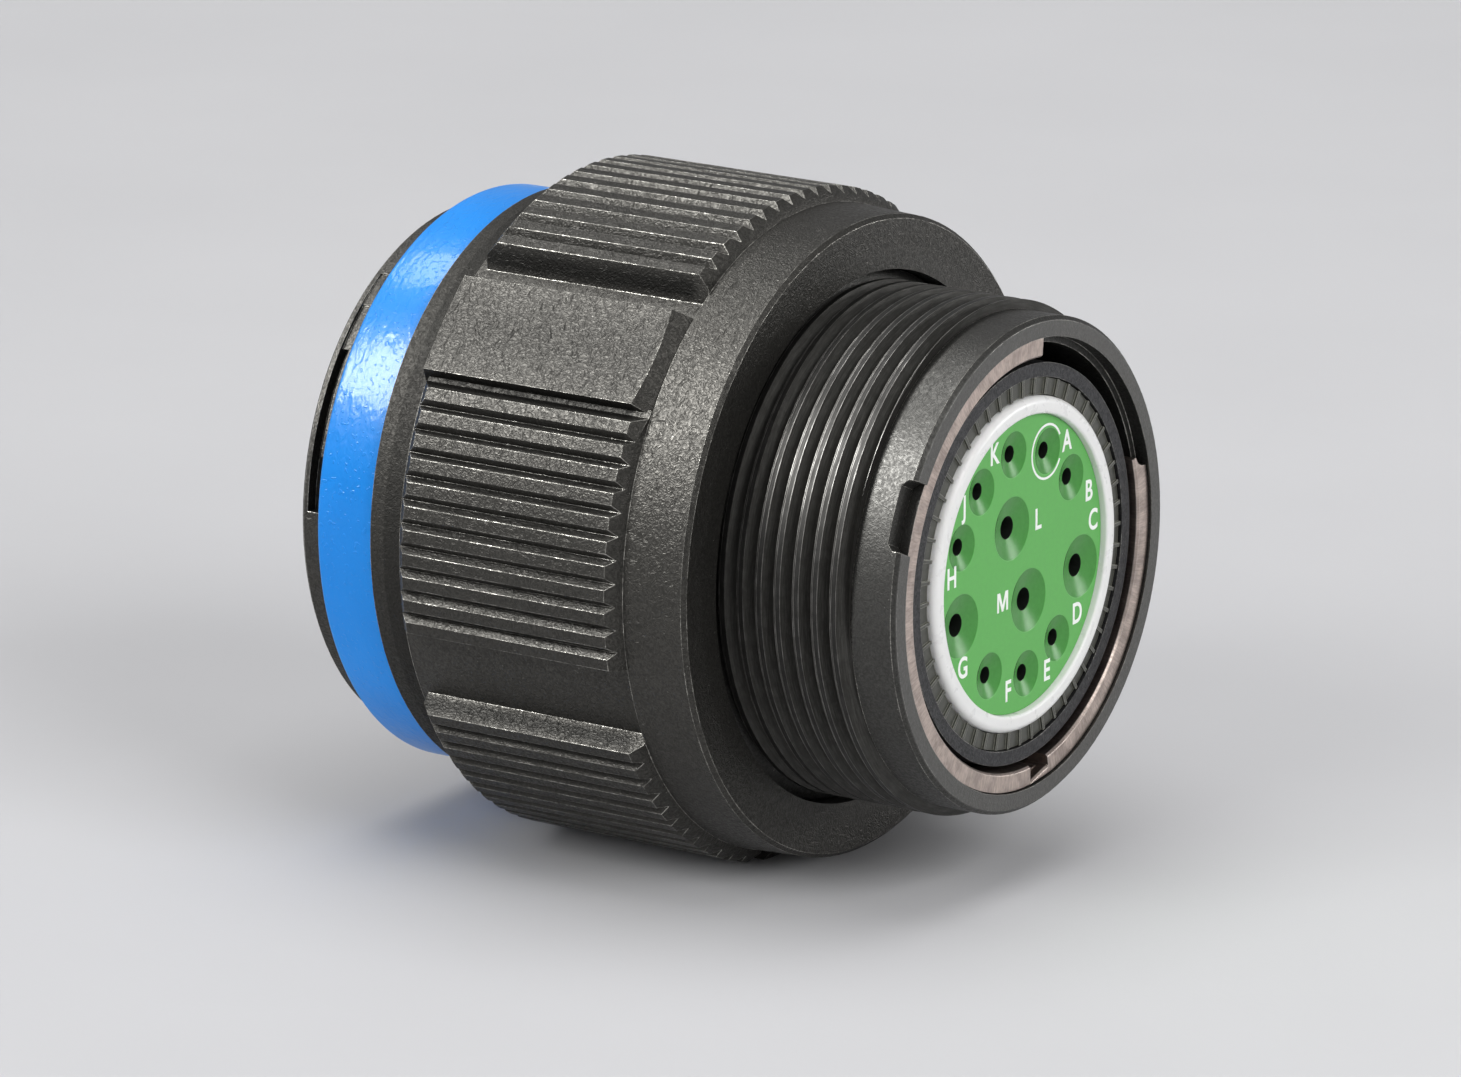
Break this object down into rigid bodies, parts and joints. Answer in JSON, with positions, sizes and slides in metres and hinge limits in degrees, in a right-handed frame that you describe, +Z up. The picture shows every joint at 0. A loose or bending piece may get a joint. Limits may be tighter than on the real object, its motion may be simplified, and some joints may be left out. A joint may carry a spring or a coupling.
{
  "type": "circular cable connector plug",
  "caption": "Circular cable connector plug with a knurled coupling nut, blue band, rear accessory thread and a green wire grommet with lettered holes.",
  "frame": {"origin": "on the connector's axis, at the middle of the rear accessory thread", "axes": "+X along the axis towards the wire end, +Z up from the pad of the coupling nut that the connector lies on"},
  "size_m": [0.032, 0.0318, 0.0316],
  "materials": {
    "nut_metal": "grainy dark grey plating, edges worn light",
    "shell_metal": "grainy dark grey plating, smooth thread",
    "sleeve_metal": "grainy dark grey",
    "band_lacquer": "glossy blue lacquer",
    "bronze": "satin bronze, light pinkish",
    "spring_steel": "bright spring steel",
    "ground_spring": "nickel plated spring",
    "seal_rubber": "red-brown silicone",
    "fin_plastic": "dark olive grey",
    "white_plastic": "satin white",
    "green_rubber": "satin green silicone with white letters",
    "insert_plastic": "hard dark plastic",
    "contact_gold": "gold plated"
  },
  "bodies": {
    "plug": {"thrust_washer": "spring_steel", "detent_spring": "spring_steel", "shell": "shell_metal", "grounding_ring": "ground_spring", "peripheral_seal": "seal_rubber", "rear_snap_ring": "bronze", "insert_sleeve": "sleeve_metal", "serrated_ring": "fin_plastic", "grommet_ferrule": "white_plastic", "wire_grommet": "green_rubber", "retention_disc": "insert_plastic", "front_insert": "insert_plastic", "contact_a": "contact_gold", "contact_b": "contact_gold", "contact_c": "contact_gold", "contact_d": "contact_gold", "contact_e": "contact_gold", "contact_f": "contact_gold", "contact_g": "contact_gold", "contact_h": "contact_gold", "contact_j": "contact_gold", "contact_k": "contact_gold", "contact_l": "contact_gold", "contact_m": "contact_gold"},
    "nut": {"coupling_nut": "nut_metal", "colour_band": "band_lacquer", "nut_retaining_ring": "nut_metal"}
  },
  "joints": [
    {"name": "nut_turn", "type": "hinge", "parent": "plug", "child": "nut", "pos_m": [0, 0, 0], "axis": [1, 0, 0], "continuous": true}
  ]
}
